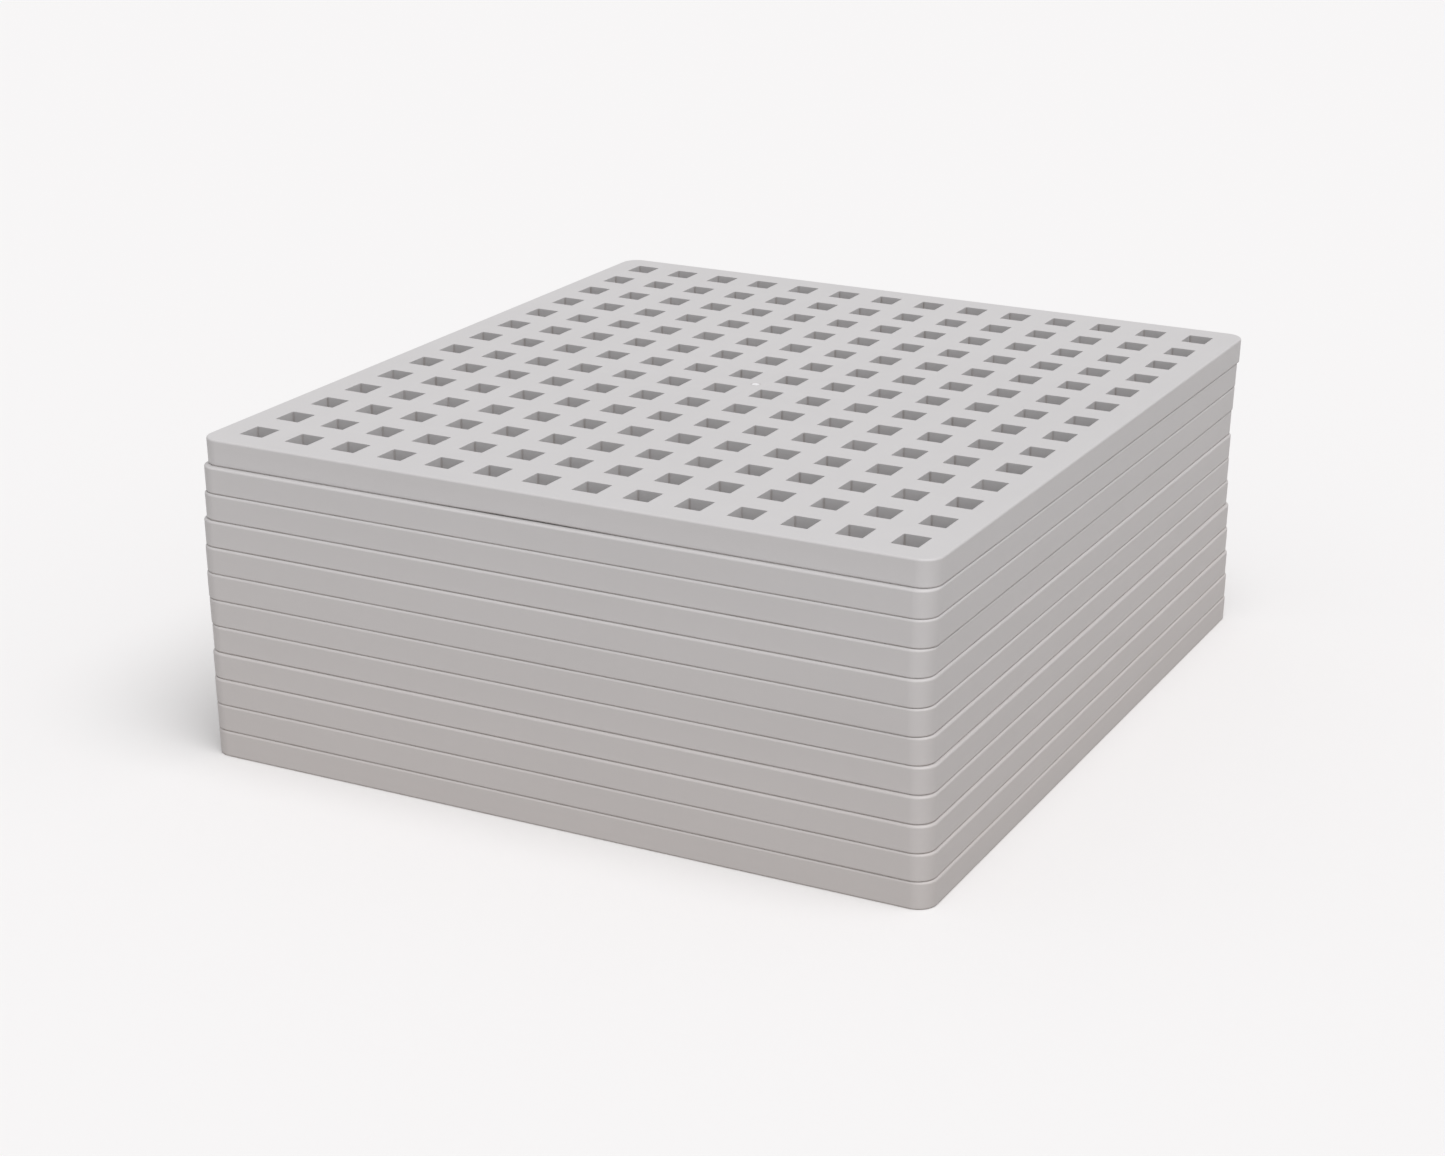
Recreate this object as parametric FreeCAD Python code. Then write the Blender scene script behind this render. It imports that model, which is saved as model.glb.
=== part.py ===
import FreeCAD, Part
import math
import os

# A stack of moulded plastic grid panels, each one loose on the panel below.
# Millimetres. +X across the panel, +Y along its longer side, +Z up.
# The origin is the centre of the bottom panel's underside.

PANEL_WIDTH = 452.0
PANEL_DEPTH = 498.6
PANEL_THICKNESS = 15.6
BORDER = 16.5
HOLES_PER_SIDE = 14

# Inside the border, the holes and the gaps between them are all one unit wide.
UNIT_X = (PANEL_WIDTH - 2 * BORDER) / (2 * HOLES_PER_SIDE - 1)
UNIT_Y = (PANEL_DEPTH - 2 * BORDER) / (2 * HOLES_PER_SIDE - 1)

CORNER_RADIUS = 11.5
TOP_EDGE_RADIUS = 1.5
SIDE_DRAFT = 0.4
HOLE_DRAFT = 0.25

DECK_THICKNESS = 3.0
SKIRT_THICKNESS = 2.6
TUBE_WALL = 2.0
TUBE_RECESS = 0.6
RIB_THICKNESS = 1.8
CORE_DRAFT = 0.2

# The gate mark is a shallow dimple in the middle of the top face.
GATE_RADIUS = 2.6
GATE_DEPTH = 0.5

# How each panel sits on the one below it: steps to +X and +Y in millimetres,
# and a turn about +Z in degrees. The first row is the second panel up.
STACKING_STEPS = [
    (-0.4, 0.1, -0.07),
    (-0.7, 0.3, -0.04),
    (-1.0, 1.1, 0.02),
    (-0.7, 1.5, 0.04),
    (-1.4, 0.7, 0.00),
    (-0.7, 0.2, -0.08),
    (-0.2, 0.4, -0.07),
    (-0.8, 1.2, 0.03),
    (0.6, 1.2, 0.00),
    (0.1, 0.8, -0.07),
    (0.5, 3.0, -0.10),
]


def point(x, y, z):
    return FreeCAD.Vector(x, y, z)


def rounded_rectangle(width, depth, radius, z):
    """A closed wire about the Z axis, with arcs at its four corners."""
    x = width / 2
    y = depth / 2
    bulge = radius * (1 - math.sqrt(0.5))
    corners = [(1, -1), (1, 1), (-1, 1), (-1, -1)]
    arcs = []
    for sx, sy in corners:
        beside_y = point(sx * x, sy * (y - radius), z)
        beside_x = point(sx * (x - radius), sy * y, z)
        middle = point(sx * (x - bulge), sy * (y - bulge), z)
        first, last = (beside_x, beside_y) if sx * sy < 0 else (beside_y, beside_x)
        arcs.append((first, middle, last))
    edges = []
    previous_end = arcs[-1][-1]
    for first, middle, last in arcs:
        edges.append(Part.LineSegment(previous_end, first).toShape())
        edges.append(Part.Arc(first, middle, last).toShape())
        previous_end = last
    return Part.Wire(edges)


def rectangle(x, y, width, depth, z):
    """A closed wire centred on (x, y)."""
    left, right = x - width / 2, x + width / 2
    front, back = y - depth / 2, y + depth / 2
    points = [
        point(left, front, z),
        point(right, front, z),
        point(right, back, z),
        point(left, back, z),
        point(left, front, z),
    ]
    return Part.makePolygon(points)


def loft(lower, upper):
    return Part.makeLoft([lower, upper], True, True)


def hole_centres():
    """The centre of every hole, row by row."""
    middle = (HOLES_PER_SIDE - 1) / 2
    for row in range(HOLES_PER_SIDE):
        for column in range(HOLES_PER_SIDE):
            yield 2 * UNIT_X * (column - middle), 2 * UNIT_Y * (row - middle)


def slab():
    """The panel's outside: drafted sides, rounded corners and a rounded top edge."""
    lower = rounded_rectangle(
        PANEL_WIDTH - 2 * SIDE_DRAFT,
        PANEL_DEPTH - 2 * SIDE_DRAFT,
        CORNER_RADIUS - SIDE_DRAFT,
        0,
    )
    upper = rounded_rectangle(PANEL_WIDTH, PANEL_DEPTH, CORNER_RADIUS, PANEL_THICKNESS)
    body = loft(lower, upper)
    top_edges = [e for e in body.Edges if e.BoundBox.ZMin > PANEL_THICKNESS - 0.001]
    return body.makeFillet(TOP_EDGE_RADIUS, top_edges)


def square_holes():
    """One drafted block for each hole, a little narrower at the underside."""
    blocks = []
    for x, y in hole_centres():
        lower = rectangle(x, y, UNIT_X - 2 * HOLE_DRAFT, UNIT_Y - 2 * HOLE_DRAFT, 0)
        upper = rectangle(x, y, UNIT_X, UNIT_Y, PANEL_THICKNESS)
        blocks.append(loft(lower, upper))
    return Part.makeCompound(blocks)


def hole_tubes():
    """The walls round the holes, which stop just short of the underside."""
    ceiling = PANEL_THICKNESS - DECK_THICKNESS
    blocks = []
    for x, y in hole_centres():
        width = UNIT_X + 2 * TUBE_WALL
        depth = UNIT_Y + 2 * TUBE_WALL
        lower = rectangle(x, y, width - 2 * CORE_DRAFT, depth - 2 * CORE_DRAFT, TUBE_RECESS)
        upper = rectangle(x, y, width, depth, ceiling)
        blocks.append(loft(lower, upper))
    return blocks


def stiffening_ribs():
    """Long ribs in both directions, in every second gap between the holes."""
    ceiling = PANEL_THICKNESS - DECK_THICKNESS
    blocks = []
    for gap in range(1, HOLES_PER_SIDE, 2):
        x = 2 * UNIT_X * (gap - HOLES_PER_SIDE / 2)
        y = 2 * UNIT_Y * (gap - HOLES_PER_SIDE / 2)
        thick = RIB_THICKNESS + 2 * CORE_DRAFT
        blocks.append(
            loft(
                rectangle(x, 0, RIB_THICKNESS, PANEL_DEPTH, 0),
                rectangle(x, 0, thick, PANEL_DEPTH, ceiling),
            )
        )
        blocks.append(
            loft(
                rectangle(0, y, PANEL_WIDTH, RIB_THICKNESS, 0),
                rectangle(0, y, PANEL_WIDTH, thick, ceiling),
            )
        )
    return blocks


def underside_pockets():
    """What is cored out under the deck, round the tubes and between the ribs."""
    inset = SIDE_DRAFT + SKIRT_THICKNESS
    lower = rounded_rectangle(
        PANEL_WIDTH - 2 * inset,
        PANEL_DEPTH - 2 * inset,
        CORNER_RADIUS - inset,
        0,
    )
    inset += CORE_DRAFT
    upper = rounded_rectangle(
        PANEL_WIDTH - 2 * inset,
        PANEL_DEPTH - 2 * inset,
        CORNER_RADIUS - inset,
        PANEL_THICKNESS - DECK_THICKNESS,
    )
    room = loft(lower, upper)
    room = room.cut(Part.makeCompound(hole_tubes()))
    return room.cut(stiffening_ribs())


def gate_dimple():
    """A ball that dips into the top face by the gate mark's depth."""
    ball_radius = (GATE_RADIUS**2 + GATE_DEPTH**2) / (2 * GATE_DEPTH)
    centre = point(0, 0, PANEL_THICKNESS - GATE_DEPTH + ball_radius)
    return Part.makeSphere(ball_radius, centre)


def grid_panel():
    """One whole panel, centred on the Z axis and standing on Z = 0."""
    panel = slab().cut(underside_pockets())
    panel = panel.cut(square_holes())
    panel = panel.cut(gate_dimple())
    return panel.Solids[0]


def stack_places():
    """Where each panel of the stack stands, from the bottom one up."""
    x, y, turn = 0.0, 0.0, 0.0
    places = [(x, y, turn)]
    for step_x, step_y, step_turn in STACKING_STEPS:
        x, y, turn = x + step_x, y + step_y, turn + step_turn
        places.append((x, y, turn))
    return places


def main():
    os.makedirs("parts", exist_ok=True)
    panel = grid_panel()
    for level, (x, y, turn) in enumerate(stack_places()):
        placed = panel.copy()
        placed.Placement = FreeCAD.Placement(
            point(x, y, level * PANEL_THICKNESS),
            FreeCAD.Rotation(point(0, 0, 1), turn),
        )
        placed.exportStep(f"parts/grid_panel_{level + 1:02d}.step")


main()
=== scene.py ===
import math

import bmesh
import bpy
import numpy as np
from mathutils import Matrix, Vector


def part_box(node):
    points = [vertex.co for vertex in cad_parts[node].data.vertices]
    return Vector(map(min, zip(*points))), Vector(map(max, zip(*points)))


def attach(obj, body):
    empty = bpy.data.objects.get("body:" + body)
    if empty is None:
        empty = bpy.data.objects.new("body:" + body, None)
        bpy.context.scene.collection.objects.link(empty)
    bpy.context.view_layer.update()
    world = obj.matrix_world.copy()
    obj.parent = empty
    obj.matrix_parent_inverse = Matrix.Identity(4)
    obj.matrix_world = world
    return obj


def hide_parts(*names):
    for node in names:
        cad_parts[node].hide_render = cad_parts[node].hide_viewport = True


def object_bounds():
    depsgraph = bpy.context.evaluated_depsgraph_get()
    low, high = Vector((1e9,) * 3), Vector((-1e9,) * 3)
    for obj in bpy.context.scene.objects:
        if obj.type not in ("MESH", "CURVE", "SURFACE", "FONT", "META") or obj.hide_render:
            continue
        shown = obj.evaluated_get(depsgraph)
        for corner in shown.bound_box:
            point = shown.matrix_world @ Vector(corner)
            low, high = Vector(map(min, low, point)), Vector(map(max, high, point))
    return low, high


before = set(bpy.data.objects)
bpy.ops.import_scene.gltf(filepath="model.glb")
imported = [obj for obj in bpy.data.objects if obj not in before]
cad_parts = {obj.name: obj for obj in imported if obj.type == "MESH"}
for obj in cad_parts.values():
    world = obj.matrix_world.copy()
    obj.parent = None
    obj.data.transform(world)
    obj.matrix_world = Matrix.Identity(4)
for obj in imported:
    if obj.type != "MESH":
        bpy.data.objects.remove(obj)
cad_low, cad_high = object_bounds()
nodes = sorted(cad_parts)
panel_low, panel_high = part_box(nodes[0])

# Metres. The bottom panel stands square to the axes, so its box gives the size of every panel.
WIDTH, DEPTH, THICKNESS = (float(v) for v in np.subtract(panel_high, panel_low))
HOLES = 14
BORDER = 0.0165
UNIT_X = (WIDTH - 2 * BORDER) / (2 * HOLES - 1)
UNIT_Y = (DEPTH - 2 * BORDER) / (2 * HOLES - 1)

# The mesh: steps in a small rounded edge and in a tight corner, how finely points are told apart, in
# steps per metre, and the angle in degrees from which an edge is sharp.
EDGE_STEPS = 3
TIGHT_STEPS = 2
GRID = 1e7
SHARP_ANGLE = 50

# The outside of a panel.
CORNER_RADIUS = 0.0115
CORNER_STEPS = 10
TOP_RADIUS = 0.0013
TOP_STEPS = 5
SIDE_DRAFT = 0.00036
FOOT_RADIUS = 0.0008

# A hole and the tube round it.
HOLE_EDGE = 0.00018
HOLE_DRAFT = 0.00025
HOLE_CORNER = 0.0003
TUBE_WALL = 0.002
TUBE_RECESS = 0.0006
TUBE_CORNER = 0.001

# The underside.
DECK = 0.003
SKIRT = 0.0026
RIB = 0.0018
CORE_DRAFT = 0.0002
ROOT_RADIUS = 0.0006
POCKET_CORNER = 0.0012
SOFT_EDGE = 0.0002
CEILING = THICKNESS - DECK
POCKETS = HOLES // 2 + 1

# The gate mark in the middle of the top face.
GATE_RADIUS = 0.0026
GATE_STEPS = 6

# The plastic's colour, from the bottom panel to the top one, the bottom one darker and warmer as painted
# shade and painted warm bounce light, and what is on it.
SHADED_BOTTOM_COLOUR = (0.6, 0.568, 0.553, 1)
TOP_COLOUR = (0.64, 0.628, 0.628, 1)
PALE_COLOUR = (0.86, 0.86, 0.87, 1)
SPECK_COLOUR = (0.22, 0.19, 0.16, 1)
# A dark warm colour, both for the dirty ring round the gate and for painted shade.
DIRT_AND_SHADE_COLOUR = (0.3, 0.26, 0.23, 1)
ROUGHNESS = 0.43
IOR = 1.49
BUMP_STRENGTH = 0.5
BUMP_HEIGHT = 0.0002

# How strongly each mark covers the colour under it, and how much painted shade there is on average.
RING_COVER = 0.25
PALE_COVER = 0.9
SPECK_COVER = 0.6
PAINTED_SHADE_COVER = 0.7
PAINTED_SHADE_AVERAGE = 0.55

# The plastic's patterns, in waves or cells per metre, and how far they move from panel to panel.
CLOUD_SCALE = 7.0
MOTTLE_SCALE = 85.0
GRAIN_SCALE = 1500.0
WAVE_SCALE = 28.0
PAINTED_SHADE_SCALE = 40.0
SPECK_SCALE = 38.0
SCRATCH_PATCH_SCALE = 11.0
SCRATCH_WAVER_SCALE = 30.0
SCRATCH_SCALES = ((16.0, 420.0, 4), (380.0, 22.0, 4))
LEVEL_SHIFT = (0.37, 0.61, 0.23)

# The streaks round the gate: how many there are, how they change with distance, and the radii
# between which they fade out.
FLOW_SCALE = 9.0
FLOW_WAVER = 4
FLOW_FADE = (0.01, 0.14)

# Where marks fade in or out. First the radii of the pale gate mark and of the dirty ring round it.
PALE_FADE = (0.0022, GATE_RADIUS)
RING_INSIDE = (0.0022, 0.0027)
RING_OUTSIDE = (0.0029, 0.0036)
# Depths below the top face.
GATE_DEPTHS = (0.0015, 0.001)
SCRATCH_DEPTHS = (0.001, 0.0005)
CORNER_SHADE_DEPTHS = (0.0012, 0.0002)
# Heights above the foot, where shade is painted along it.
FOOT_SHADE = (0.0004, 0.0013)
# The painted shade in a hole's upright corners: behind the wall's face, along the wall, and past the
# outermost walls.
CORNER_SHADE_BEHIND = (0.0007, 0.0003)
CORNER_SHADE_ALONG = (0.0003, 0.0015)
CORNER_SHADE_PAST = (0.0003, 0.0008)
# A speck's radius in cells, and the random numbers of the cells that have one.
SPECK_RADIUS = (0.009, 0.016)
SPECK_PICK = (0.83, 0.86)
# How near zero the noise is along a scratch, and the noise levels where a patch of them sets in.
SCRATCH_WIDTH = 0.012
SCRATCH_PATCH = (0.04, 0.16)

# The light from all round: even above the horizon, and below it palest in one direction, starting at
# this share of that direction. The two halves blend over a narrow strip at the horizon.
LIGHT_ABOVE = (0.5, 0.5, 0.505, 1)
LIGHT_BELOW_FRONT = (1.38, 1.35, 1.35, 1)
LIGHT_BELOW_BACK = (0.19, 0.165, 0.15, 1)
BELOW_FRONT = (0.3, -0.954, 0)
BELOW_FRONT_START = 0.25
HORIZON = 0.05

# The key light, which shines in this direction; its width is in degrees.
KEY_DIRECTION = (-0.17, 0.09, -0.53)
KEY_ENERGY = 1.8
KEY_COLOUR = (1, 0.985, 0.99)
KEY_WIDTH = 50

# The floor, and how far it reaches from its middle.
FLOOR_REACH = 15
FLOOR_COLOUR = (0.9, 0.895, 0.89, 1)
FLOOR_ROUGHNESS = 0.9

# The camera, with its sensor and lens in millimetres and its roll in degrees.
CAMERA_PLACE = (0.7282, -1.4648, 0.6501)
CAMERA_TARGET = (-0.0226, 0.0025, 0.0621)
CAMERA_SENSOR = 36
CAMERA_LENS = 70.63
CAMERA_ROLL = 0.215

# How far the middle of the pile's top lies below its edges; lower panels sag less.
SAG = 0.0007

# Nothing presses the top panel down, so a stretch of its front skirt stands clear of the one below.
ARCH_HEIGHT = 0.0005
ARCH_MIDDLE = -0.03 * WIDTH
ARCH_REACH = 0.13 * WIDTH
ARCH_DEPTH = 0.012

# The four corners of a rectangle, anticlockwise, and the side that follows each of them.
CORNERS = [(1, 1), (-1, 1), (-1, -1), (1, -1)]
BACK, LEFT, FRONT, RIGHT = range(4)


# ---- lines and outlines

def gap_x(gap):
    """Where the middle of a gap between two columns of holes lies; the outermost are in the border."""
    return 2 * UNIT_X * (gap - HOLES / 2)


def gap_y(gap):
    return 2 * UNIT_Y * (gap - HOLES / 2)


def is_wall(gap):
    """Every second gap holds a rib, and the border holds the skirt."""
    return gap % 2 == 1 or gap in (0, HOLES)


def quarter_round(steps):
    """(how far across, how far down) a rounded edge of radius 1, from the flat to the wall."""
    angles = [math.pi / 2 * i / steps for i in range(steps + 1)]
    return [(math.sin(a), 1 - math.cos(a)) for a in angles]


def corner_arc(x, y, corner, radius, steps, z):
    """A quarter circle about (x, y), anticlockwise."""
    angles = [math.radians(90 * (corner + i / steps)) for i in range(steps + 1)]
    return [(x + radius * math.cos(a), y + radius * math.sin(a), z) for a in angles]


def joined(lists):
    return [point for points in lists for point in points]


def band(polygons, lower, upper):
    """Quads between two closed loops that have the same number of points."""
    for i in range(len(lower)):
        j = (i + 1) % len(lower)
        polygons.append([lower[i], lower[j], upper[j], upper[i]])


def between(points, axis, low, high):
    slack = 1 / GRID
    return [p for p in points if low - slack <= p[axis] <= high + slack]


def strip(polygons, outer, inner, axis, cuts):
    """Flat polygons between two lines that run side by side, cut across at the given places."""
    beyond = WIDTH
    for low, high in zip([-beyond] + cuts, cuts + [beyond]):
        polygons.append(between(outer, axis, low, high) + between(inner, axis, low, high)[::-1])


def collar(polygons, ring, outer):
    """The flat face between a hole's ring and the outline round it, each as four corners."""
    for i in range(4):
        j = (i + 1) % 4
        polygons.append(outer[i] + ring[i][::-1])
        polygons.append([outer[i][-1], outer[j][0], ring[j][0], ring[i][-1]])


# ---- holes and tubes

def hole_profile():
    """(distance out from the hole's edge, height), down the hole, round the tube and up to the deck."""
    steps = []
    for across, down in quarter_round(EDGE_STEPS):
        steps.append((HOLE_EDGE * (1 - across), THICKNESS - HOLE_EDGE * down))
    outside = TUBE_WALL - CORE_DRAFT
    steps.append((-HOLE_DRAFT, TUBE_RECESS + SOFT_EDGE))
    steps.append((SOFT_EDGE - HOLE_DRAFT, TUBE_RECESS))
    steps.append((outside - SOFT_EDGE, TUBE_RECESS))
    steps.append((outside, TUBE_RECESS + SOFT_EDGE))
    for across, down in quarter_round(EDGE_STEPS):
        steps.append((TUBE_WALL + ROOT_RADIUS * down, CEILING - ROOT_RADIUS * (1 - across)))
    return steps


def hole_ring(x, y, out, z):
    """Four rounded corners round a hole; the tube's corners are rounder outside than inside."""
    share = min(max(out / TUBE_WALL, 0), 1)
    radius = HOLE_CORNER + (TUBE_CORNER - HOLE_CORNER) * share + max(out - TUBE_WALL, 0)
    ring = []
    for corner, (sx, sy) in enumerate(CORNERS):
        centre_x = x + sx * (UNIT_X / 2 + out - radius)
        centre_y = y + sy * (UNIT_Y / 2 + out - radius)
        ring.append(corner_arc(centre_x, centre_y, corner, radius, TIGHT_STEPS, z))
    return ring


def top_cell(column, row):
    """The outline of a hole's share of the top face; the gate mark bites into the middle four."""
    cell = []
    for corner, (sx, sy) in enumerate(CORNERS):
        x, y = gap_x(column + (sx > 0)), gap_y(row + (sy > 0))
        if abs(x) + abs(y) < 1 / GRID:
            bite = corner_arc(0, 0, (corner + 2) % 4, GATE_RADIUS, GATE_STEPS, THICKNESS)
            cell.append(bite[::-1])
        else:
            cell.append([(x, y, THICKNESS)])
    return cell


def deck_cell(column, row):
    """The outline of a hole's share of the deck's underside."""
    inset, z = pocket_levels()[-1]
    pocket = ((column + 1) // 2, (row + 1) // 2)
    arcs = pocket_corners(pocket, inset, z)
    span_x, span_y = pocket_spans(pocket, inset)
    cell = []
    for corner, (sx, sy) in enumerate(CORNERS):
        at_x, at_y = column + (sx > 0), row + (sy > 0)
        if is_wall(at_x) and is_wall(at_y):
            cell.append(arcs[corner])
        else:
            x = span_x[sx > 0] if is_wall(at_x) else gap_x(at_x)
            y = span_y[sy > 0] if is_wall(at_y) else gap_y(at_y)
            cell.append([(x, y, z)])
    return cell


def add_holes(polygons):
    middle = (HOLES - 1) / 2
    for row in range(HOLES):
        for column in range(HOLES):
            x, y = 2 * UNIT_X * (column - middle), 2 * UNIT_Y * (row - middle)
            rings = [hole_ring(x, y, out, z) for out, z in hole_profile()]
            for upper, lower in zip(rings, rings[1:]):
                band(polygons, joined(lower), joined(upper))
            collar(polygons, rings[0], top_cell(column, row))
            collar(polygons, rings[-1], deck_cell(column, row))


# ---- the pockets of the underside

def pocket_levels():
    """(distance in from the wall, height), from the open end of a pocket up to the deck."""
    levels = [(-SOFT_EDGE, 0), (0, SOFT_EDGE)]
    for across, down in quarter_round(EDGE_STEPS):
        levels.append((CORE_DRAFT + ROOT_RADIUS * down, CEILING - ROOT_RADIUS * (1 - across)))
    return levels


def pocket_spans(pocket, inset):
    """Where the walls of a pocket stand in X and in Y, moved in by the inset."""
    spans = []
    for index, gap_at, size in zip(pocket, (gap_x, gap_y), (WIDTH, DEPTH)):
        skirt = size / 2 - SIDE_DRAFT - SKIRT
        low = -skirt if index == 0 else gap_at(2 * index - 1) + RIB / 2
        high = skirt if index == POCKETS - 1 else gap_at(2 * index + 1) - RIB / 2
        spans.append((low + inset, high - inset))
    return spans


def pocket_corners(pocket, inset, z):
    """A pocket's corners are tight, except the one at the panel's own corner."""
    span_x, span_y = pocket_spans(pocket, inset)
    end = POCKETS - 1
    arcs = []
    for corner, (sx, sy) in enumerate(CORNERS):
        radius, steps = POCKET_CORNER - inset, TIGHT_STEPS
        if pocket == (end * (sx > 0), end * (sy > 0)):
            radius, steps = CORNER_RADIUS - SIDE_DRAFT - SKIRT - inset, CORNER_STEPS
        x = span_x[sx > 0] - sx * radius
        y = span_y[sy > 0] - sy * radius
        arcs.append(corner_arc(x, y, corner, radius, steps, z))
    return arcs


def pocket_sides(pocket, inset, z):
    """The points along each side of a pocket between its corners, where a gap's middle line meets it."""
    span_x, span_y = pocket_spans(pocket, inset)
    at_edge = (0, POCKETS - 1)
    lines_x = [] if pocket[0] in at_edge else [gap_x(2 * pocket[0])]
    lines_y = [] if pocket[1] in at_edge else [gap_y(2 * pocket[1])]
    return [
        [(x, span_y[1], z) for x in lines_x],
        [(span_x[0], y, z) for y in lines_y],
        [(x, span_y[0], z) for x in lines_x],
        [(span_x[1], y, z) for y in lines_y],
    ]


def add_pocket_walls(polygons, pocket):
    loops = []
    for inset, z in pocket_levels():
        corners = pocket_corners(pocket, inset, z)
        sides = pocket_sides(pocket, inset, z)
        loops.append(joined(corners[i] + sides[i] for i in range(4)))
    for lower, upper in zip(loops, loops[1:]):
        band(polygons, lower, upper)


def mouth_side(pocket, side):
    """One side of a pocket's mouth, from the end of one corner to the start of the next."""
    inset, z = pocket_levels()[0]
    corners = pocket_corners(pocket, inset, z)
    middle = pocket_sides(pocket, inset, z)[side]
    return [corners[side][-1]] + middle + [corners[(side + 1) % 4][0]]


def add_rib_feet(polygons):
    """The undersides of the ribs, in stretches between their crossings, and the crossings."""
    inset, z = pocket_levels()[0]
    for a in range(POCKETS):
        for b in range(POCKETS - 1):
            polygons.append(mouth_side((a, b), BACK) + mouth_side((a, b + 1), FRONT))
            polygons.append(mouth_side((b, a), RIGHT) + mouth_side((b + 1, a), LEFT))
    for a in range(POCKETS - 1):
        for b in range(POCKETS - 1):
            around = [(a, b), (a + 1, b), (a + 1, b + 1), (a, b + 1)]
            arcs = [pocket_corners(pocket, inset, z)[i] for i, pocket in enumerate(around)]
            polygons.append(joined(arc[::-1] for arc in arcs))


def add_skirt_foot(polygons):
    inset, z = pocket_levels()[0]
    corners, sides = outline(*outline_levels()[0])
    end = POCKETS - 1
    rows = [
        [(i, end) for i in range(end, -1, -1)],
        [(0, i) for i in range(end, -1, -1)],
        [(i, 0) for i in range(POCKETS)],
        [(end, i) for i in range(POCKETS)],
    ]
    for side, row in enumerate(rows):
        after = (side + 1) % 4
        inner = []
        for pocket in row:
            arcs = pocket_corners(pocket, inset, z)
            inner += arcs[side] + pocket_sides(pocket, inset, z)[side] + arcs[after]
        for k in range(CORNER_STEPS):
            polygons.append([corners[side][k], corners[side][k + 1], inner[k + 1], inner[k]])
        inner = inner[CORNER_STEPS:-CORNER_STEPS]
        outer = [corners[side][-1]] + sides[side] + [corners[after][0]]
        axis = side % 2
        gap_at = gap_y if axis else gap_x
        reach = RIB / 2 + POCKET_CORNER
        cuts = []
        for rib in range(1, HOLES, 2):
            cuts += [gap_at(rib) - reach, gap_at(rib) + reach]
        strip(polygons, outer, inner, axis, cuts)


# ---- the outside

def outline_lines(gap_at):
    """Where a side has points: at every gap, and just beside every rib's end."""
    reach = RIB / 2 + POCKET_CORNER
    lines = []
    for gap in range(1, HOLES):
        beside = [-reach, 0, reach] if is_wall(gap) else [0]
        lines += [gap_at(gap) + step for step in beside]
    return lines


def outline(inset, z):
    """The panel's outline as four corners and the points along the side after each."""
    corners = []
    for corner, (sx, sy) in enumerate(CORNERS):
        x = sx * (WIDTH / 2 - CORNER_RADIUS)
        y = sy * (DEPTH / 2 - CORNER_RADIUS)
        corners.append(corner_arc(x, y, corner, CORNER_RADIUS - inset, CORNER_STEPS, z))
    x, y = WIDTH / 2 - inset, DEPTH / 2 - inset
    lines_x, lines_y = outline_lines(gap_x), outline_lines(gap_y)
    sides = [
        [(line, y, z) for line in lines_x[::-1]],
        [(-x, line, z) for line in lines_y[::-1]],
        [(line, -y, z) for line in lines_x],
        [(x, line, z) for line in lines_y],
    ]
    return corners, sides


def outline_levels():
    """(distance in, height), from the foot of the skirt over the rounded top edge."""
    levels = []
    for across, down in quarter_round(EDGE_STEPS):
        levels.append((SIDE_DRAFT + FOOT_RADIUS * (1 - across), FOOT_RADIUS * down))
    for across, down in quarter_round(TOP_STEPS)[::-1]:
        levels.append((TOP_RADIUS * (1 - across), THICKNESS - TOP_RADIUS * down))
    return levels


def add_outside(polygons):
    loops = []
    for inset, z in outline_levels():
        corners, sides = outline(inset, z)
        loops.append(joined(corners[i] + sides[i] for i in range(4)))
    for lower, upper in zip(loops, loops[1:]):
        band(polygons, lower, upper)


def add_top_border(polygons):
    """The flat strip of the top face between the outermost cells and the rounded edge."""
    corners, sides = outline(*outline_levels()[-1])
    x, y = gap_x(HOLES), gap_y(HOLES)
    for corner, (sx, sy) in enumerate(CORNERS):
        polygons.append([(sx * x, sy * y, THICKNESS)] + corners[corner])
    lines_x = [gap_x(gap) for gap in range(HOLES + 1)]
    lines_y = [gap_y(gap) for gap in range(HOLES + 1)]
    inner = [
        [(line, y, THICKNESS) for line in lines_x[::-1]],
        [(-x, line, THICKNESS) for line in lines_y[::-1]],
        [(line, -y, THICKNESS) for line in lines_x],
        [(x, line, THICKNESS) for line in lines_y],
    ]
    for side in range(4):
        outer = [corners[side][-1]] + sides[side] + [corners[(side + 1) % 4][0]]
        cuts = (lines_y if side % 2 else lines_x)[1:-1]
        strip(polygons, outer, inner[side], side % 2, cuts)


def gate_profile():
    """(share of the radius, depth), from the rim of the dimple in over the stub that the gate left."""
    return [
        (1.00, 0.00000),
        (0.93, 0.00012),
        (0.80, 0.00034),
        (0.62, 0.00046),
        (0.50, 0.00044),
        (0.42, 0.00022),
        (0.34, 0.00012),
        (0.18, 0.00008),
    ]


def add_gate_mark(polygons):
    rings = []
    for share, depth in gate_profile():
        radius, z = GATE_RADIUS * share, THICKNESS - depth
        arcs = [corner_arc(0, 0, corner, radius, GATE_STEPS, z) for corner in range(4)]
        rings.append(joined(arc[:-1] for arc in arcs))
    for outer, inner in zip(rings, rings[1:]):
        band(polygons, outer, inner)
    polygons.append(rings[-1])


def panel_polygons():
    polygons = []
    add_holes(polygons)
    for a in range(POCKETS):
        for b in range(POCKETS):
            add_pocket_walls(polygons, (a, b))
    add_rib_feet(polygons)
    add_skirt_foot(polygons)
    add_outside(polygons)
    add_top_border(polygons)
    add_gate_mark(polygons)
    return polygons


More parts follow.
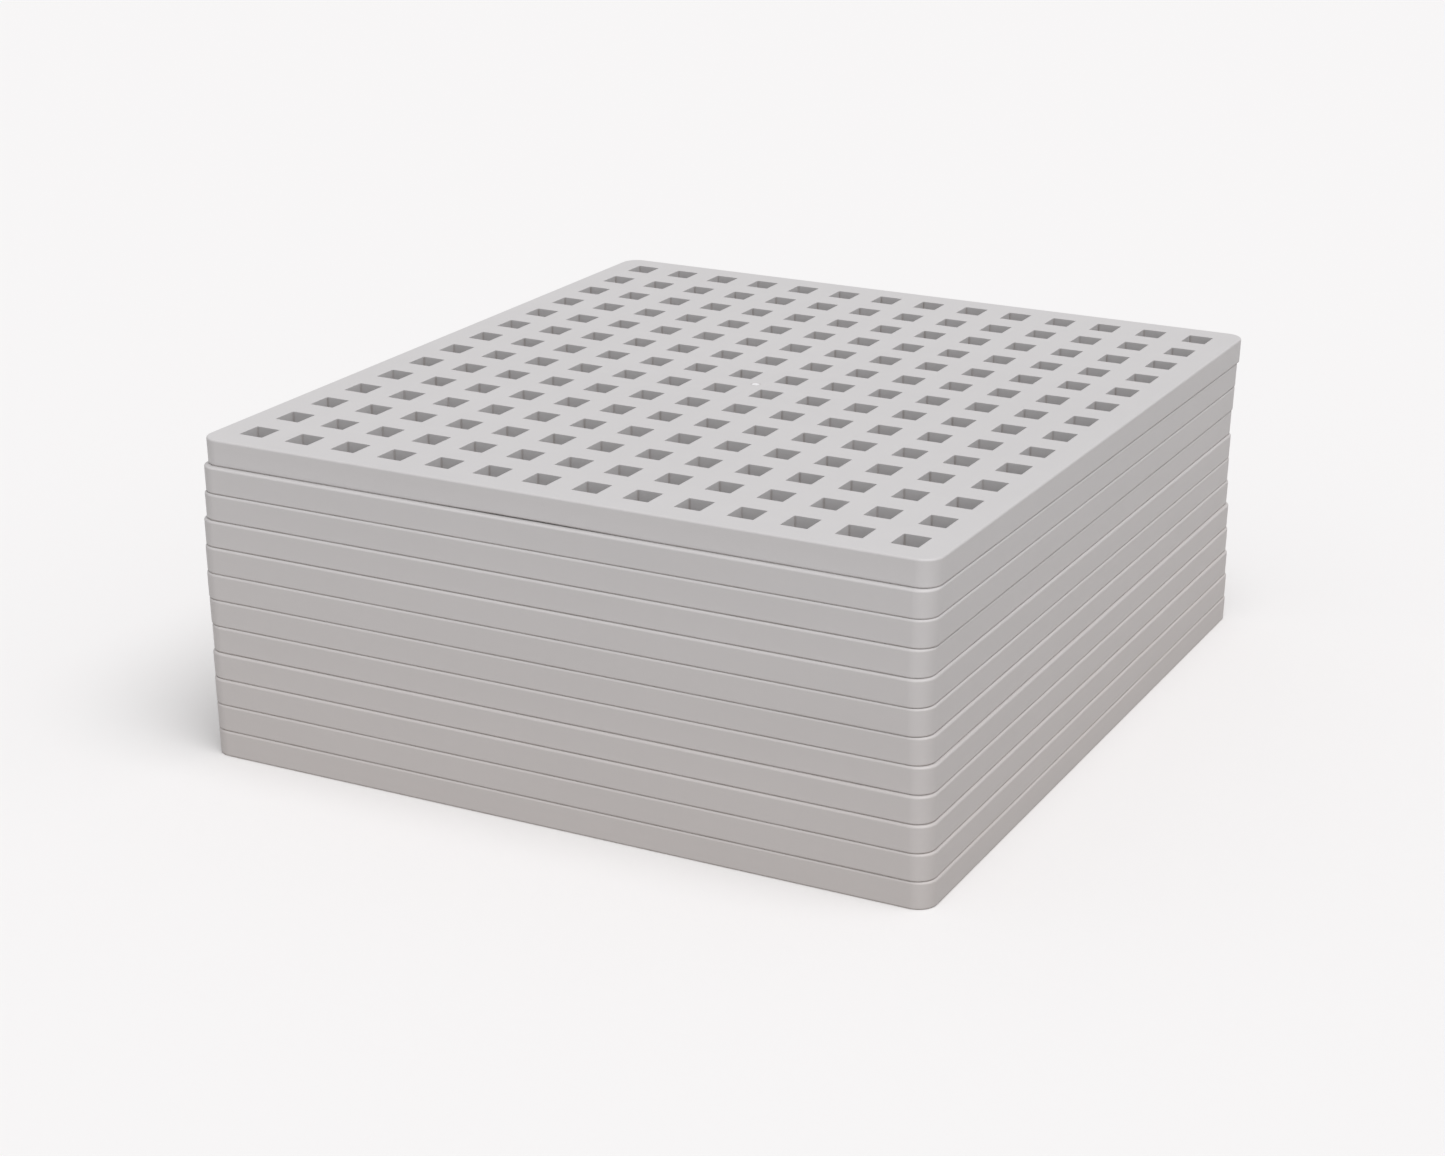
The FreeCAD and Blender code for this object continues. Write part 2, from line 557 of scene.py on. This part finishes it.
def panel_mesh():
    """One moulding, centred on the Z axis and standing on Z = 0, as a single closed mesh."""
    shape = bmesh.new()
    made = {}
    for polygon in panel_polygons():
        corners = []
        for place in polygon:
            key = tuple(round(v * GRID) for v in place)
            if key not in made:
                made[key] = shape.verts.new(place)
            corners.append(made[key])
        shape.faces.new(corners)
    bmesh.ops.recalc_face_normals(shape, faces=shape.faces)
    mesh = bpy.data.meshes.new("panel")
    shape.to_mesh(mesh)
    shape.free()
    return mesh


# ---- the pile

def panel_turn(node):
    """The angle that a CAD panel is turned by about Z, from how its top face's points spread."""
    spots = np.array([v.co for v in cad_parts[node].data.vertices])
    slack = 1e-5
    top = spots[spots[:, 2] > spots[:, 2].max() - slack]
    x, y = (top[:, :2] - top[:, :2].mean(axis=0)).T
    return 0.5 * math.atan2(-2 * (x * y).sum(), (y * y).sum() - (x * x).sum())


def settle(places, level):
    """Panels are a hair thinner in the middle, so the pile sags more and more towards the top."""
    x, y, z = places.T
    middle = (1 - (2 * x / WIDTH) ** 2) * (1 - (2 * y / DEPTH) ** 2)
    share = (level + z / THICKNESS) / len(nodes)
    places[:, 2] -= SAG * np.clip(middle, 0, 1) * share


def arch_front_foot(places):
    """Lift the foot of the front skirt, fading out along it, upwards and towards the holes."""
    x, y, z = places.T
    along = np.clip(1 - ((x - ARCH_MIDDLE) / ARCH_REACH) ** 2, 0, 1)
    inwards = np.clip(1 - (y + DEPTH / 2) / ARCH_DEPTH, 0, 1)
    upwards = np.clip(1 - z / (THICKNESS - TOP_RADIUS), 0, 1)
    places[:, 2] += ARCH_HEIGHT * along * inwards * upwards


def turn(places, angle):
    x, y = places[:, 0].copy(), places[:, 1].copy()
    places[:, 0] = x * math.cos(angle) - y * math.sin(angle)
    places[:, 1] = x * math.sin(angle) + y * math.cos(angle)


def make_panel(moulding, node, level, material):
    mesh = moulding.copy()
    places = np.empty(len(mesh.vertices) * 3)
    mesh.vertices.foreach_get("co", places)
    mesh.attributes.new("place", "FLOAT_VECTOR", "POINT").data.foreach_set("vector", places)
    levels = np.full(len(mesh.vertices), float(level))
    mesh.attributes.new("level", "FLOAT", "POINT").data.foreach_set("value", levels)
    places = places.reshape(-1, 3)
    settle(places, level)
    if node == nodes[-1]:
        arch_front_foot(places)
    turn(places, panel_turn(node))
    mesh.vertices.foreach_set("co", places.ravel())
    mesh.materials.append(material)
    mesh.shade_smooth()
    mesh.set_sharp_from_angle(angle=math.radians(SHARP_ANGLE))
    panel = bpy.data.objects.new(f"panel_{level + 1:02d}", mesh)
    low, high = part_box(node)
    panel.location = ((low.x + high.x) / 2, (low.y + high.y) / 2, low.z)
    bpy.context.scene.collection.objects.link(panel)
    flat = panel.modifiers.new("flat faces stay flat", "WEIGHTED_NORMAL")
    flat.keep_sharp = True
    flat.weight = 100
    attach(panel, node)
    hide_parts(node)


# ---- the material

class Nodes:
    """The shader nodes of a material or a world, each added and wired up by a short call."""

    def __init__(self, owner):
        owner.use_nodes = True
        self.tree = owner.node_tree

    def feed(self, socket, value):
        """Give a socket a value or another node's output."""
        if isinstance(value, bpy.types.NodeSocket):
            self.tree.links.new(value, socket)
        else:
            socket.default_value = value

    def add(self, kind, *inputs, **settings):
        """A node with its first inputs fed in order."""
        node = self.tree.nodes.new("ShaderNode" + kind)
        for name, value in settings.items():
            setattr(node, name, value)
        for socket, value in zip(node.inputs, inputs):
            self.feed(socket, value)
        return node

    def attribute(self, name, output):
        return self.add("Attribute", attribute_name=name).outputs[output]

    def math(self, operation, *inputs):
        return self.add("Math", *inputs, operation=operation).outputs[0]

    def vector(self, operation, *inputs):
        return self.add("VectorMath", *inputs, operation=operation).outputs["Vector"]

    def measure(self, operation, *inputs):
        """A vector operation that gives a number."""
        return self.add("VectorMath", *inputs, operation=operation).outputs["Value"]

    def ramp(self, value, low, high, start=0.0, end=1.0, shape="LINEAR"):
        """From start to end as the value goes from low to high."""
        return self.add("MapRange", value, low, high, start, end, interpolation_type=shape).outputs[0]

    def rise(self, value, low, high):
        """0 below low, 1 above high and a smooth step between."""
        return self.ramp(value, low, high, 0.0, 1.0, "SMOOTHSTEP")

    def fall(self, value, low, high):
        """1 below low, 0 above high and a smooth step between."""
        return self.ramp(value, low, high, 1.0, 0.0, "SMOOTHSTEP")

    def noise(self, place, scale, detail=2.0):
        """Soft noise, mostly between -0.5 and 0.5."""
        cloud = self.add("TexNoise", place, 0.0, scale, detail).outputs[0]
        return self.math("SUBTRACT", cloud, 0.5)

    def product(self, *factors):
        result = factors[0]
        for factor in factors[1:]:
            result = self.math("MULTIPLY", result, factor)
        return result

    def weighted(self, base, *terms):
        """The base plus the sum of (value, weight) pairs."""
        result = base
        for value, weight in terms:
            result = self.math("ADD", result, self.math("MULTIPLY", value, weight))
        return result

    def blend(self, share, first, second):
        """The first colour, mixed towards the second by the share."""
        node = self.add("Mix", share, data_type="RGBA")
        colour_a, colour_b = node.inputs[6:8]
        self.feed(colour_a, first)
        self.feed(colour_b, second)
        return node.outputs[2]


def near_top(surface, height, depths):
    """1 at the top face, fading out between two depths below it."""
    deep, shallow = depths
    return surface.rise(height, THICKNESS - deep, THICKNESS - shallow)


def flow_lines(surface, place, flat, radius):
    """Faint streaks that run out from the gate, where the melt came in."""
    waver = surface.vector("MULTIPLY", place, (FLOW_WAVER, FLOW_WAVER, FLOW_WAVER))
    stretched = surface.vector("ADD", surface.vector("NORMALIZE", flat), waver)
    fading = surface.fall(radius, *FLOW_FADE)
    return surface.product(surface.noise(stretched, FLOW_SCALE, detail=3.0), fading)


def specks(surface, place):
    """Sparse dark specks of a few tenths of a millimetre, one in some of the cells."""
    cells = surface.add("TexVoronoi", place, 0.0, SPECK_SCALE)
    pick = surface.add("SeparateColor", cells.outputs["Color"]).outputs[0]
    dot = surface.fall(cells.outputs["Distance"], *SPECK_RADIUS)
    return surface.product(dot, surface.rise(pick, *SPECK_PICK))


def scratches(surface, place, height, scales):
    """Fine handling marks, long in one direction, in scattered patches of the top face."""
    stretched = surface.vector("MULTIPLY", place, scales)
    waver = surface.noise(place, SCRATCH_WAVER_SCALE)
    wavy = surface.vector("ADD", stretched, waver)
    line = surface.math("ABSOLUTE", surface.noise(wavy, 1.0, detail=1.0))
    patch = surface.rise(surface.noise(place, SCRATCH_PATCH_SCALE), *SCRATCH_PATCH)
    on_top = near_top(surface, height, SCRATCH_DEPTHS)
    return surface.product(surface.fall(line, 0.0, SCRATCH_WIDTH), patch, on_top)


def hole_corner_shade(surface, place, height):
    """The upright inside corners of the holes, where shade is painted."""
    x, y = surface.add("SeparateXYZ", place).outputs[:2]
    deep, shallow = CORNER_SHADE_DEPTHS
    shares = [surface.fall(height, THICKNESS - deep, THICKNESS - shallow)]
    for along, unit, size in ((x, UNIT_X, WIDTH), (y, UNIT_Y, DEPTH)):
        from_gap = surface.math("PINGPONG", along, unit)
        wall = unit / 2
        outermost = size / 2 - BORDER
        from_middle = surface.math("ABSOLUTE", along)
        shares.append(surface.rise(from_gap, *(wall - behind for behind in CORNER_SHADE_BEHIND)))
        shares.append(surface.fall(from_gap, *(wall + into for into in CORNER_SHADE_ALONG)))
        shares.append(surface.fall(from_middle, *(outermost + past for past in CORNER_SHADE_PAST)))
    return surface.product(*shares)


def plastic():
    """Matt grey plastic: cloudy, with flow lines, specks, scratches, a dirty ring and a pale gate mark,
    painted shade at the feet and in the holes' corners, and lower panels painted darker and warmer as
    shade.
    """
    material = bpy.data.materials.new("panel_plastic_grey")
    surface = Nodes(material)
    shader = surface.tree.nodes["Principled BSDF"]
    place = surface.attribute("place", "Vector")
    level = surface.attribute("level", "Fac")
    height = surface.add("SeparateXYZ", place).outputs[2]
    flat = surface.vector("MULTIPLY", place, (1, 1, 0))
    radius = surface.measure("LENGTH", flat)
    own = surface.vector("ADD", place, surface.vector("MULTIPLY", level, LEVEL_SHIFT))

    clouds = surface.noise(own, CLOUD_SCALE, detail=3.0)
    mottle = surface.noise(own, MOTTLE_SCALE, detail=3.0)
    grain = surface.noise(own, GRAIN_SCALE, detail=1.0)
    waves = surface.noise(own, WAVE_SCALE, detail=1.0)
    flow = flow_lines(surface, place, flat, radius)
    marks = surface.math("ADD", *(scratches(surface, own, height, scales) for scales in SCRATCH_SCALES))
    at_gate = near_top(surface, height, GATE_DEPTHS)
    pale = surface.product(surface.fall(radius, *PALE_FADE), at_gate)
    ring = surface.product(surface.rise(radius, *RING_INSIDE), surface.fall(radius, *RING_OUTSIDE), at_gate)
    # Painted shade, darker and warmer, along each panel's foot under the panel above and down the holes'
    # upright inside corners, in noisy patches.
    patchy = surface.math("ADD", surface.noise(own, PAINTED_SHADE_SCALE, detail=3.0), PAINTED_SHADE_AVERAGE)
    at_foot = surface.fall(height, *FOOT_SHADE)
    shaded_places = surface.math("MAXIMUM", at_foot, hole_corner_shade(surface, place, height))
    painted_shade = surface.product(shaded_places, patchy)

    # Lower panels are painted darker and warmer: painted shade and warm bounce light low down the pile.
    share_up_the_pile = surface.math("DIVIDE", level, len(nodes) - 1.0)
    colour = surface.blend(share_up_the_pile, SHADED_BOTTOM_COLOUR, TOP_COLOUR)
    tone = surface.weighted(1.0, (clouds, 0.05), (mottle, 0.03), (flow, 0.06), (marks, 0.03))
    colour = surface.vector("MULTIPLY", colour, tone)
    colour = surface.blend(surface.product(ring, RING_COVER), colour, DIRT_AND_SHADE_COLOUR)
    colour = surface.blend(surface.product(pale, PALE_COVER), colour, PALE_COLOUR)
    colour = surface.blend(surface.product(specks(surface, own), SPECK_COVER), colour, SPECK_COLOUR)
    colour = surface.blend(surface.product(painted_shade, PAINTED_SHADE_COVER), colour, DIRT_AND_SHADE_COLOUR)
    surface.feed(shader.inputs["Base Color"], colour)

    roughness = surface.weighted(
        ROUGHNESS, (mottle, 0.12), (grain, 0.06), (marks, 0.12), (pale, -0.2), (painted_shade, 0.25)
    )
    surface.feed(shader.inputs["Roughness"], roughness)

    relief = surface.weighted(0.0, (waves, 0.6), (grain, 0.05), (marks, -0.03))
    bump = surface.add("Bump")
    bump.inputs["Strength"].default_value = BUMP_STRENGTH
    bump.inputs["Distance"].default_value = BUMP_HEIGHT
    surface.feed(bump.inputs["Height"], relief)
    surface.feed(shader.inputs["Normal"], bump.outputs["Normal"])
    shader.inputs["IOR"].default_value = IOR
    return material


# ---- the stage

def make_floor():
    shape = bmesh.new()
    bmesh.ops.create_grid(shape, x_segments=1, y_segments=1, size=FLOOR_REACH)
    mesh = bpy.data.meshes.new("floor")
    shape.to_mesh(mesh)
    shape.free()
    floor = bpy.data.objects.new("floor", mesh)
    floor.location.z = cad_low.z
    material = bpy.data.materials.new("floor_white")
    shader = Nodes(material).tree.nodes["Principled BSDF"]
    shader.inputs["Base Color"].default_value = FLOOR_COLOUR
    shader.inputs["Roughness"].default_value = FLOOR_ROUGHNESS
    shader.inputs["Specular IOR Level"].default_value = 0.0
    mesh.materials.append(material)
    bpy.context.scene.collection.objects.link(floor)
    # The floor would throw too much light up at the sides; the world below the horizon does that instead.
    floor.visible_diffuse = False


def make_world():
    """Even light from above the horizon; below it, pale in front and dimmer and warmer elsewhere."""
    world = bpy.data.worlds.new("studio")
    sky = Nodes(world)
    direction = sky.add("TexCoord").outputs["Generated"]
    forwards = sky.measure("DOT_PRODUCT", direction, BELOW_FRONT)
    upwards = sky.measure("DOT_PRODUCT", direction, (0, 0, 1))
    below = sky.blend(sky.ramp(forwards, BELOW_FRONT_START, 1.0), LIGHT_BELOW_BACK, LIGHT_BELOW_FRONT)
    whole = sky.blend(sky.ramp(upwards, -HORIZON, HORIZON), below, LIGHT_ABOVE)
    sky.feed(sky.tree.nodes["Background"].inputs["Color"], whole)
    bpy.context.scene.world = world


def make_key_light():
    """One large soft light, from high up, a little to the right and in front."""
    sun = bpy.data.lights.new("softbox", "SUN")
    sun.energy = KEY_ENERGY
    sun.color = KEY_COLOUR
    sun.angle = math.radians(KEY_WIDTH)
    lamp = bpy.data.objects.new("softbox", sun)
    lamp.rotation_mode = "QUATERNION"
    lamp.rotation_quaternion = Vector(KEY_DIRECTION).to_track_quat("-Z", "Y")
    bpy.context.scene.collection.objects.link(lamp)


def make_camera():
    data = bpy.data.cameras.new("camera")
    data.sensor_width = CAMERA_SENSOR
    data.lens = CAMERA_LENS
    camera = bpy.data.objects.new("camera", data)
    camera.location = CAMERA_PLACE
    camera.rotation_mode = "QUATERNION"
    level = (Vector(CAMERA_TARGET) - Vector(CAMERA_PLACE)).to_track_quat("-Z", "Y")
    roll = Matrix.Rotation(math.radians(CAMERA_ROLL), 3, "Z").to_quaternion()
    camera.rotation_quaternion = level @ roll
    bpy.context.scene.collection.objects.link(camera)
    bpy.context.scene.camera = camera


def main():
    moulding = panel_mesh()
    material = plastic()
    for level, node in enumerate(nodes):
        make_panel(moulding, node, level, material)
    make_floor()
    make_world()
    make_key_light()
    make_camera()
    bpy.context.scene.view_settings.view_transform = "Standard"


main()
